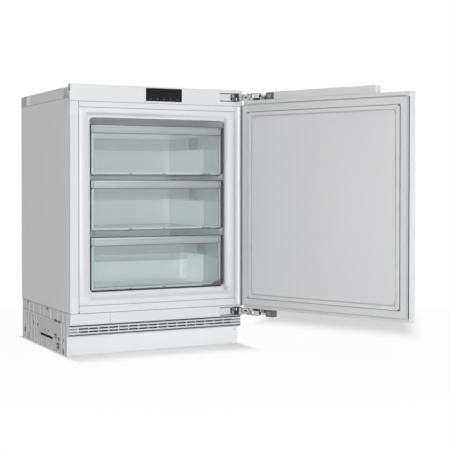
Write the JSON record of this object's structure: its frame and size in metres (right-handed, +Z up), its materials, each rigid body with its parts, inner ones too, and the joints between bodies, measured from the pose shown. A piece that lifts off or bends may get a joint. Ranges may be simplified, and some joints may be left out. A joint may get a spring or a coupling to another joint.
{
  "type": "undercounter freezer",
  "caption": "White built-in undercounter freezer with its door open, clear drawers with silver grips, glass shelves, a control fascia and a vented plinth.",
  "frame": {"origin": "on the floor, under the middle of the cabinet's footprint without the door", "axes": "+Z up, the front faces -Y, the door hangs on the +X side"},
  "size_m": [0.8758, 1.07, 0.838],
  "materials": {
    "white_plastic": "satin white",
    "white_liner": "smooth white",
    "grey_steel": "light grey coated steel",
    "zinc_steel": "zinc plated",
    "grey_base": "grey moulded plastic",
    "dark_plastic": "dark moulded plastic",
    "black_glass": "glossy black",
    "black_paint": "black paint",
    "clear_plastic": "clear, slightly grey",
    "shelf_glass": "clear float glass",
    "silver_plastic": "satin silver",
    "foam": "rigid insulation foam",
    "aluminium_sheet": "plain",
    "gasket_rubber": "soft light grey",
    "black_rubber": "matt",
    "copper_pipe": "plain copper",
    "circuit_board": "lacquered board"
  },
  "bodies": {
    "cabinet": {"left_side_panel": "grey_steel", "right_side_panel": "grey_steel", "back_panel": "zinc_steel", "top_panel": "grey_steel", "machine_floor": "zinc_steel", "cabinet_foam": "foam", "front_trims": "white_plastic", "front_frame": "white_plastic", "crossbars": "white_plastic", "inner_liner": "white_liner", "evaporator": "aluminium_sheet", "glass_shelves": "shelf_glass", "control_fascia": "white_plastic", "display_panel": "black_glass", "control_board": "circuit_board", "fascia_clip": "dark_plastic", "top_rails": "grey_steel", "rail_end_blocks": "grey_base", "upper_hinge_bracket": "zinc_steel", "lower_hinge_bracket": "zinc_steel", "hinge_slot_covers": "white_plastic", "lower_front_strip": "white_plastic", "strip_covers": "white_plastic", "ventilation_grille": "white_plastic", "plinth_panel": "white_plastic", "plinth_screws": "zinc_steel", "base_tray": "grey_base", "machine_cover": "dark_plastic", "compressor": "black_paint", "compressor_mounts": "black_rubber", "condenser": "black_paint", "fan_shroud": "dark_plastic", "filter_drier": "copper_pipe", "refrigerant_pipes": "copper_pipe", "melt_water_tray": "dark_plastic", "terminal_box": "dark_plastic", "power_inlet": "dark_plastic", "foot_brackets": "zinc_steel"},
    "fan": {"fan_rotor": "dark_plastic"},
    "hinge_links": {"main_hinge_links": "zinc_steel"},
    "hinge_guides": {"guide_hinge_links": "zinc_steel"},
    "door": {"door_outer_skin": "grey_steel", "door_inner_panel": "white_liner", "door_foam": "foam", "door_gasket": "gasket_rubber", "door_mounting_rail": "grey_steel", "upper_door_bracket": "zinc_steel", "lower_door_bracket": "zinc_steel", "hinge_block_screws": "zinc_steel"},
    "upper_drawer": {"upper_drawer_tub": "clear_plastic", "upper_drawer_handle": "silver_plastic"},
    "middle_drawer": {"middle_drawer_tub": "clear_plastic", "middle_drawer_handle": "silver_plastic"},
    "lower_drawer": {"lower_drawer_tub": "clear_plastic", "lower_drawer_handle": "silver_plastic"},
    "front_left_foot": {"left_front_foot": "dark_plastic"},
    "front_right_foot": {"right_front_foot": "dark_plastic"},
    "rear_left_foot": {"left_rear_foot": "dark_plastic"},
    "rear_right_foot": {"right_rear_foot": "dark_plastic"}
  },
  "joints": [
    {"name": "door_swing", "type": "hinge", "parent": "cabinet", "child": "hinge_links", "pos_m": [0.274, -0.2325, 0.465], "axis": [0, 0, 1], "range_deg": [-30.4, 0]},
    {"name": "door_on_link", "type": "hinge", "parent": "hinge_links", "child": "door", "pos_m": [0.31537, -0.27315, 0.465], "axis": [0, 0, 1], "range_deg": [-84.6, 0]},
    {"name": "guide_swing", "type": "hinge", "parent": "cabinet", "child": "hinge_guides", "pos_m": [0.288, -0.2482, 0.465], "axis": [0, 0, 1], "range_deg": [-63.1, 0]},
    {"name": "upper_drawer_slide", "type": "slide", "parent": "cabinet", "child": "upper_drawer", "axis": [0, -1, 0], "range_m": [0, 0.33]},
    {"name": "middle_drawer_slide", "type": "slide", "parent": "cabinet", "child": "middle_drawer", "axis": [0, -1, 0], "range_m": [0, 0.33]},
    {"name": "lower_drawer_slide", "type": "slide", "parent": "cabinet", "child": "lower_drawer", "axis": [0, -1, 0], "range_m": [0, 0.22]},
    {"name": "fan_turn", "type": "hinge", "parent": "cabinet", "child": "fan", "pos_m": [-0.026, -0.0375, 0.0615], "axis": [1, 0, 0], "continuous": true},
    {"name": "front_left_foot_height", "type": "slide", "parent": "cabinet", "child": "front_left_foot", "axis": [0, 0, -1], "range_m": [0, 0.042]},
    {"name": "front_right_foot_height", "type": "slide", "parent": "cabinet", "child": "front_right_foot", "axis": [0, 0, -1], "range_m": [0, 0.042]},
    {"name": "rear_left_foot_height", "type": "slide", "parent": "cabinet", "child": "rear_left_foot", "axis": [0, 0, -1], "range_m": [0, 0.042]},
    {"name": "rear_right_foot_height", "type": "slide", "parent": "cabinet", "child": "rear_right_foot", "axis": [0, 0, -1], "range_m": [0, 0.042]}
  ],
  "couplings": [
    {"joint": "door_on_link", "follows": "door_swing", "ratio": 2.7829},
    {"joint": "guide_swing", "follows": "door_swing", "ratio": 2.0757}
  ]
}
